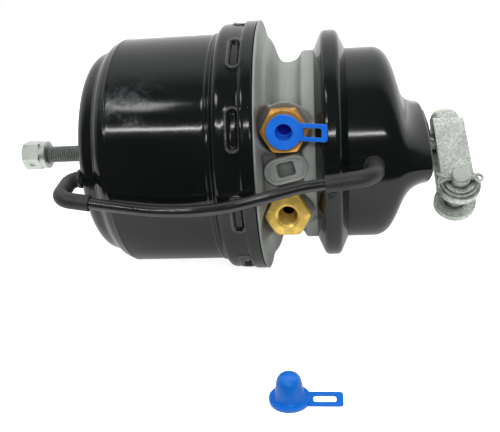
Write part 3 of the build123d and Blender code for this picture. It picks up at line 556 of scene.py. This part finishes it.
HOUSING_OUTSIDE = ((-255.5, 70.0), (-255.3, 72.6), (-254.4, 75.2), (-252.6, 77.9), (-250.2, 80.0),
                   (-247.6, 81.3), (-244.6, 82.1), (-242.2, 82.7), (-241.0, 83.5), (-239.4, 85.6),
                   (-237.2, 87.7), (-234.6, 89.3), (-232.0, 90.3), (-230.6, 91.1), (-229.6, 91.25),
                   (-228.6, 90.9), (-227.0, 91.0), (-160.0, 91.0), (-158.4, 91.1), (-157.4, 91.9),
                   (-156.4, 92.1), (-155.4, 91.7), (-154.4, 92.0), (-153.4, 93.4), (-152.2, 95.4),
                   (-150.8, 97.0), (-149.0, 97.8), (-147.0, 98.0), (-134.2, 98.0), (-133.4, 98.1),
                   (-132.6, 98.7), (-131.6, 99.3), (-130.4, 99.5), (-124.6, 99.6), (-123.9, 99.3),
                   (-123.5, 98.4))
HOUSING_INSIDE = ((-123.4, 97.2), (-128.9, 97.2), (-129.1, 95.5), (-146.5, 95.5), (-156.5, 88.4),
                  (-226.0, 88.4), (-236.0, 85.0), (-243.0, 80.0), (-250.0, 77.0), (-252.9, 70.0),
                  (-252.9, 17.1))
HOUSING_END = ((-255.5, 17.1), (-255.5, 50.0))
HOUSING_SPANS = ((-255.5, -226.0, 0.7), (-226.0, -162.0, 8.0), (-162.0, -146.0, 0.6),
                 (-146.0, -123.5, 0.6))

SKIRT = 98.0                    # radius the keys are stamped in, in millimetres
KEYS = 10
KEY_SECTOR = math.tau / KEYS
KEY_PLACE = -137.0              # along the axis
KEY_TURN = 22.6                 # of the first key, in degrees
KEY_HALF = 10.5                 # half the length of the straight part
KEY_REACH = 8.5                 # how far a key bends the skirt to either side
KEY_FINE = 17.0                 # half the stretch of fine steps at a key
KEY_STEP, SKIRT_STEP = 0.8, 3.2     # steps round the skirt, at the keys and between them
# the groove's floor and top, and its border, lie at these distances from the key's middle line
GROOVE_DEPTH, GROOVE_FLOOR, GROOVE_TOP = 1.7, 1.9, 3.5
BORDER, BORDER_HEIGHT, BORDER_WIDTH = 4.7, 0.4, 1.7
BEAD_CENTRE, BEAD_WIDTH, BEAD_HEIGHT = 98.05, 1.1, 1.05     # radius of its line, half its section
BEAD_STEPS, BEAD_END_STEPS, BEAD_SIDE_STEPS = 10, 14, 12


def key_height(place, turn):
    """Stamped key: a narrow groove the long way round the skirt with a rolled border."""
    off = (turn + math.radians(KEY_TURN) + KEY_SECTOR / 2) % KEY_SECTOR - KEY_SECTOR / 2
    beyond = max(abs(off * SKIRT) - KEY_HALF, 0.0)
    away = math.hypot(beyond, place - KEY_PLACE)
    border = BORDER_HEIGHT * math.exp(-((away - BORDER) / BORDER_WIDTH) ** 2)
    return border - GROOVE_DEPTH * (1 - soft_step(GROOVE_FLOOR, GROOVE_TOP, away))


def keyed_radius(place, base):
    """Radius of the skirt with its keys, in metres, at one place along the axis."""
    def radius(turn):
        return metres(base + key_height(place, turn))
    return radius


def key_border():
    """Points of the obround about a key, round the skirt and along it, each with its way out."""
    points = []
    for end in (1, -1):
        for step in range(BEAD_END_STEPS + 1):
            turn = math.pi * step / BEAD_END_STEPS
            out_around, out_beside = end * math.sin(turn), end * math.cos(turn)
            points.append((end * KEY_HALF + BORDER * out_around, BORDER * out_beside,
                           out_around, out_beside))
        for step in range(1, BEAD_SIDE_STEPS):
            points.append((end * KEY_HALF * (1 - 2 * step / BEAD_SIDE_STEPS), -end * BORDER,
                           0.0, -end))
    return points


def key_beads():
    """The rolled beads round the keys, each a closed obround ring half sunk in the skirt."""
    made = bmesh.new()
    for key in range(KEYS):
        middle = math.tau * key / KEYS - math.radians(KEY_TURN)
        rows = []
        for around, beside, out_around, out_beside in key_border():
            row = []
            for turn in even_turns(BEAD_STEPS):
                sideways, rise = BEAD_WIDTH * math.cos(turn), BEAD_HEIGHT * math.sin(turn)
                angle = middle + (around + sideways * out_around) / SKIRT
                radius = metres(BEAD_CENTRE + rise)
                row.append(made.verts.new((metres(KEY_PLACE + beside + sideways * out_beside),
                                           -radius * math.cos(angle), -radius * math.sin(angle))))
            rows.append(row)
        join_rows(made, rows + rows[:1])
    beads = smooth_piece("key_beads", made)
    beads.data.materials.append(BEAD_SHEEN_PAINT)
    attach(beads, "housing")


def pressed_spring_housing():
    """Spring housing with its rolled creases and stamped keys."""
    offsets = stations((-KEY_FINE, KEY_FINE, KEY_STEP),
                       (KEY_FINE, math.tau * SKIRT / KEYS - KEY_FINE, SKIRT_STEP))[:-1]
    turns = sorted((key * KEY_SECTOR - math.radians(KEY_TURN) + off / SKIRT) % math.tau
                   for key in range(KEYS) for off in offsets)
    rings = in_metres(HOUSING_END)
    for place in stations(*HOUSING_SPANS):
        base = along_profile(HOUSING_OUTSIDE, place)
        keyed = abs(place - KEY_PLACE) < KEY_REACH
        rings.append((metres(place), keyed_radius(place, base) if keyed else metres(base)))
    rings += in_metres(HOUSING_INSIDE)
    housing = turned("pressed_spring_housing", (0, 0, 0), (1, 0, 0), (0, -1, 0), rings, turns,
                     sharp=50, hollow=True)
    housing.data.materials.append(MATERIALS["black_paint"])
    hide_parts("spring_housing")
    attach(housing, "housing")


CASE_OUTSIDE = ((-129.0, 96.9), (-123.2, 96.9), (-123.1, 99.2), (-122.5, 99.8), (-121.7, 99.5),
                (-121.0, 97.6), (-119.6, 91.4), (-117.8, 87.4), (-115.4, 84.9), (-113.2, 80.9),
                (-111.4, 75.4), (-109.3, 70.4), (-107.2, 67.8), (-104.8, 66.6), (-100.0, 66.8),
                (-96.8, 67.8), (-94.4, 69.3), (-92.8, 71.3), (-91.7, 73.4), (-90.7, 74.5),
                (-89.2, 74.9), (-78.9, 74.9), (-75.0, 84.4), (-72.0, 84.4))
# the hidden hub and the cavity, which join the outside into a closed ring
CASE_HUB = ((-136.0, 24.0), (-136.0, 33.0), (-126.0, 37.0), (-126.0, 88.8), (-144.5, 88.8),
            (-144.5, 93.8), (-143.0, 95.3), (-131.3, 95.3), (-131.3, 92.6), (-129.0, 92.6))
CASE_CAVITY = ((-72.0, 64.0), (-75.0, 63.0), (-107.0, 61.0), (-113.0, 55.0), (-113.0, 25.0),
               (-121.0, 25.0), (-121.0, 21.0), (-124.0, 21.0), (-124.0, 24.0))
CASE_LIP = (-129.0, -123.2)
CASE_SPANS = ((-123.1, -120.0, 0.5), (-120.0, -84.0, 0.75), (-84.0, -78.9, 2.5),
              (-78.9, -75.0, 1.3), (-75.0, -72.0, 3.0))
CASE_SHAPED = (-122.0, -80.0)   # the stretch that the ports shape
CASE_FRONT = 52                 # half the turn in fine steps, in degrees
CASE_FINE_STEP, CASE_COARSE_STEP = 0.7, 2.6
SIDE_FACING = 0.35              # cosine of the turn past which nothing is shaped

PORT_PLACE = -103.0             # along the axis, in millimetres
PORT_RISE = 31.5                # above and below the axis
# planes that face the ports, by their distance from the axis
BLOCK_PLANE, BOSS_PLANE, RELIEF_PLANE, PIT_PLANE = 62.5, 67.0, 71.0, 58.0
# distances over which each surface fades out: the block from the line between the two ports, the
# rest from a port's centre
BLOCK_FADE, BOSS_FADE = (16.0, 19.5), (18.6, 21.6)
SPOT_FACE_FADE, PIT_FADE = (18.2, 20.2), (9.5, 12.5)
# the relief fades by height above or below the axis, and by place along it at either end
RELIEF_FADE, RELIEF_LEFT, RELIEF_RIGHT = (13.0, 19.0), (-121.6, -118.6), (-92.5, -90.5)


def case_radius(place, base):
    """Radius of the casting, in metres, at one place along the axis.

    A block under both ports and a round boss at each rise from the neck. The spot face of a boss,
    the relief between the two and the pit that takes the adapter are cut back to their planes.
    """
    def radius(turn):
        facing = math.cos(turn)
        if facing < SIDE_FACING:
            return metres(base)
        lift = abs(math.tan(turn))
        r = base
        away = math.hypot(place - PORT_PLACE, max(BLOCK_PLANE * lift - PORT_RISE, 0.0))
        r += max(0.0, BLOCK_PLANE / facing - r) * (1 - soft_step(*BLOCK_FADE, away))
        boss = BOSS_PLANE / facing
        away = math.hypot(place - PORT_PLACE, BOSS_PLANE * lift - PORT_RISE)
        r += max(0.0, boss - r) * (1 - soft_step(*BOSS_FADE, away))
        r -= max(0.0, r - boss) * (1 - soft_step(*SPOT_FACE_FADE, away))
        between = 1 - soft_step(*RELIEF_FADE, RELIEF_PLANE * lift)
        between *= soft_step(*RELIEF_LEFT, place)
        r -= (max(0.0, r - RELIEF_PLANE / facing) * between
              * (1 - soft_step(*RELIEF_RIGHT, place)))
        r -= max(0.0, r - PIT_PLANE / facing) * (1 - soft_step(*PIT_FADE, away))
        return metres(r)
    return radius


def cast_flange_case():
    """The cast middle section with fillets where its bosses meet the neck."""
    front = math.radians(CASE_FRONT)
    turns = stations((-front, front, math.radians(CASE_FINE_STEP)),
                     (front, math.tau - front, math.radians(CASE_COARSE_STEP)))[:-1]
    rings = in_metres(CASE_HUB)
    for place in (*CASE_LIP, *stations(*CASE_SPANS)):
        base = along_profile(CASE_OUTSIDE, place)
        shaped = CASE_SHAPED[0] < place < CASE_SHAPED[1]
        rings.append((metres(place), case_radius(place, base) if shaped else metres(base)))
    rings += in_metres(CASE_CAVITY)
    case = turned("cast_flange_case", (0, 0, 0), (1, 0, 0), (0, -1, 0), rings, turns,
                  sharp=55, hollow=True)
    case.data.materials.append(MATERIALS["cast_aluminium"])
    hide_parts("flange_case")
    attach(case, "housing")


PAD_TILT = 13                   # degrees, right end up
PAD_RISE = 2.8                  # of its centre above the axis
POCKET_POWER = 7                # squareness of the pocket
# distance from the axis, half length and half width: side, rim and inside of the rim
PAD_RIM = ((64.0, 17.0, 10.6), (74.2, 16.4, 10.0), (75.3, 16.0, 9.6), (75.7, 15.4, 9.0),
           (75.7, 14.9, 8.5), (75.3, 14.4, 8.0), (74.1, 14.1, 7.7))
PAD_POCKET = ((74.1, 6.9, 5.9), (73.6, 6.4, 5.4), (68.0, 5.9, 4.9))


def obround_radius(half_length, half_width, tilt):
    """Radius in metres of an outline with straight sides and round ends."""
    def radius(turn):
        across, up = abs(math.cos(turn - tilt)), abs(math.sin(turn - tilt))
        straight = half_length - half_width
        if up > 1e-6 and half_width * across / up <= straight:
            return metres(half_width / up)
        return metres(straight * across + math.sqrt(half_width ** 2 - (straight * up) ** 2))
    return radius


def block_radius(half_length, half_width, tilt):
    """Radius in metres of a rectangle with rounded corners."""
    def radius(turn):
        across, up = abs(math.cos(turn - tilt)), abs(math.sin(turn - tilt))
        total = (across / half_length) ** POCKET_POWER + (up / half_width) ** POCKET_POWER
        return metres(total ** (-1 / POCKET_POWER))
    return radius


def oval_boss():
    """The oval pad between the ports, with its raised rim and square pocket."""
    tilt = math.radians(PAD_TILT)
    rings = [(metres(place), outline(half_length, half_width, tilt))
             for outline, sizes in ((obround_radius, PAD_RIM), (block_radius, PAD_POCKET))
             for place, half_length, half_width in sizes]
    boss = turned("oval_boss", (metres(PORT_PLACE), 0, metres(PAD_RISE)), (0, -1, 0), (1, 0, 0),
                  rings, even_turns(96), sharp=40)
    boss.data.materials.append(MATERIALS["cast_aluminium"])
    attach(boss, "housing")


CAP_CENTRE = (-0.0995, -0.199, 0)
CAP_PLUG = ((-86.2, 6.5), (-97.7, 6.5), (-97.7, 9.8), (-96.9, 9.1), (-94.5, 8.6), (-90.5, 8.1),
            (-87.2, 7.6), (-85.2, 7.0), (-83.8, 6.1), (-82.7, 4.8), (-82.0, 3.1), (-81.7, 1.2))


def cap_dome():
    """The rounded, tapered plug of the loose cap, over the plain one of the CAD."""
    dome = turned("cap_dome", CAP_CENTRE, (0, 0, 1), (1, 0, 0), in_metres(CAP_PLUG),
                  even_turns(48), sharp=60)
    dome.data.materials.append(SHADED_BLUE)
    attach(dome, "loose_cap_body")


# ---------------------------------------------------------------- floor, world and lights
FLOOR_Z = -0.1
TABLE = ((-3.0, -0.226), (3.0, 2.5))    # near left and far right corners of the floor
FLOOR_GREY = 0.80
FLOOR_GLOW = 0.86                       # lifts the floor to white for the camera, shadow kept
FLOOR_GLOSS = 0.12                      # the same for what mirrors it
# greys of the room from the front, through the sides, to the wall behind
ROOM = ((0.00, 0.035), (0.40, 0.06), (0.60, 0.78), (1.00, 1.00))
# name, place, aim, width and height, power, and whether the gloss mirrors it
LAMPS = (
    ("front_strip", (-0.52, -1.02, 0.73), (-0.19, -0.08, 0.04), (0.55, 0.035), 1.6, True),
    ("front_window", (-0.62, -0.62, 1.08), (-0.22, -0.07, 0.06), (0.34, 0.16), 1.2, True),
    ("right_strip", (0.05, -1.10, 0.52), (-0.045, -0.07, 0.03), (0.30, 0.05), 1.0, True),
    ("top_soft", (-0.10, -0.10, 1.3), (-0.12, 0.0, 0.0), (1.4, 1.2), 14.0, False),
    ("front_soft", (0.25, -1.3, 0.7), (-0.1, 0.0, 0.0), (1.0, 0.8), 12.0, False),
)


def add_floor():
    """A white table that takes the shadow."""
    mesh = bpy.data.meshes.new("floor")
    (x0, y0), (x1, y1) = TABLE
    mesh.from_pydata([(x0, y0, FLOOR_Z), (x1, y0, FLOOR_Z), (x1, y1, FLOOR_Z), (x0, y1, FLOOR_Z)],
                     [], [(0, 1, 2, 3)])
    floor = bpy.data.objects.new("floor", mesh)
    bpy.context.scene.collection.objects.link(floor)
    s = Shader("floor", Base_Color=(FLOOR_GREY, FLOOR_GREY, FLOOR_GREY, 1.0), Roughness=0.9,
               Specular_IOR_Level=0.0)
    rays = s.node("ShaderNodeLightPath")
    glow = s.node("ShaderNodeEmission")
    camera_part = s.times(rays.outputs["Is Camera Ray"], FLOOR_GLOW)
    glossy_part = s.times(rays.outputs["Is Glossy Ray"], FLOOR_GLOSS)
    both = s.node("ShaderNodeMath", operation="ADD")
    s.link(camera_part, both.inputs[0])
    s.link(glossy_part, both.inputs[1])
    s.link(both.outputs["Value"], glow.inputs["Strength"])
    seen = s.node("ShaderNodeAddShader")
    s.link(s.main.outputs["BSDF"], seen.inputs[0])
    s.link(glow.outputs["Emission"], seen.inputs[1])
    s.link(seen.outputs["Shader"], s.tree.nodes["Material Output"].inputs["Surface"])
    mesh.materials.append(s.material)


def add_world():
    """White to the camera. To all else it is a room, dim in front and paler behind."""
    world = bpy.data.worlds.new("world")
    bpy.context.scene.world = world
    world.use_nodes = True
    tree = world.node_tree
    light = tree.nodes["Background"]
    way = tree.nodes.new("ShaderNodeTexCoord")
    parts = tree.nodes.new("ShaderNodeSeparateXYZ")
    tree.links.new(way.outputs["Generated"], parts.inputs["Vector"])
    depth = tree.nodes.new("ShaderNodeMapRange")
    depth.inputs["From Min"].default_value = -1.0
    tree.links.new(parts.outputs["Y"], depth.inputs["Value"])
    room = tree.nodes.new("ShaderNodeValToRGB")
    stops = room.color_ramp.elements
    while len(stops) < len(ROOM):
        stops.new(0.5)
    for stop, (position, grey) in zip(stops, ROOM):
        stop.position = position
        stop.color = (grey, grey, grey, 1.0)
    tree.links.new(depth.outputs["Result"], room.inputs["Fac"])
    tree.links.new(room.outputs["Color"], light.inputs["Color"])
    shown = tree.nodes.new("ShaderNodeBackground")
    shown.inputs["Color"].default_value = (1.0, 1.0, 1.0, 1.0)
    rays = tree.nodes.new("ShaderNodeLightPath")
    both = tree.nodes.new("ShaderNodeMixShader")
    tree.links.new(rays.outputs["Is Camera Ray"], both.inputs["Fac"])
    tree.links.new(light.outputs["Background"], both.inputs[1])
    tree.links.new(shown.outputs["Background"], both.inputs[2])
    tree.links.new(both.outputs["Shader"], tree.nodes["World Output"].inputs["Surface"])


def add_lights():
    """Area lamps, each turned to its aim."""
    for name, place, aim, size, power, mirrored in LAMPS:
        data = bpy.data.lights.new(name, "AREA")
        data.shape = "RECTANGLE"
        data.size, data.size_y = size
        data.energy = power
        lamp = bpy.data.objects.new(name, data)
        bpy.context.scene.collection.objects.link(lamp)
        lamp.location = place
        lamp.rotation_euler = (Vector(aim) - Vector(place)).to_track_quat("-Z", "Y").to_euler()
        lamp.visible_glossy = mirrored


add_camera()
dress_nodes()
threaded_bolt()
pressed_spring_housing()
key_beads()
cast_flange_case()
oval_boss()
cap_dome()
threaded_port("spring_port_adapter", MATERIALS["brass"])
add_floor()
add_world()
add_lights()
bpy.context.scene.view_settings.view_transform = "Standard"
